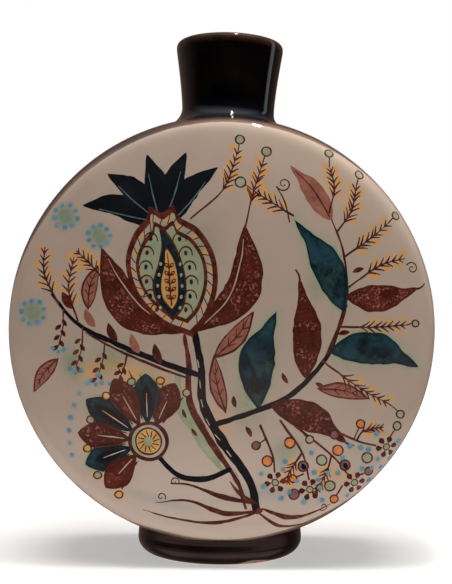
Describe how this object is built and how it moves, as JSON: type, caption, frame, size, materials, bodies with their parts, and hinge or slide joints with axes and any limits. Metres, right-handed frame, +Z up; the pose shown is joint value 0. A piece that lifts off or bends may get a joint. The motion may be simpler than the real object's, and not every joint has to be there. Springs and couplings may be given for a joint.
{
  "type": "round flask vase",
  "caption": "Round flattened flask vase with domed painted faces, a flared round collar and an oval bulging foot ring, open at the mouth.",
  "frame": {"origin": "centre of the bounding box in plan, on the plane the foot stands on", "axes": "+Z up along the vase's height, the front face looks along -Y, X runs across the disc from side to side"},
  "size_m": [0.181, 0.0672, 0.2207],
  "materials": {
    "cream_glaze": "glossy cream glaze over hand-painted underglaze decoration",
    "brown_glaze": "glossy very dark brown glaze, redder where it thins on edges",
    "bare_clay": "unglazed tan fired clay, matt"
  },
  "bodies": {
    "root": {"front_dish": "cream_glaze", "back_dish": "cream_glaze", "seam_coil": "bare_clay", "neck_collar": "brown_glaze", "neck_joint_fillet": "brown_glaze", "foot_ring": "brown_glaze", "foot_joint_fillet": "bare_clay"}
  },
  "joints": []
}
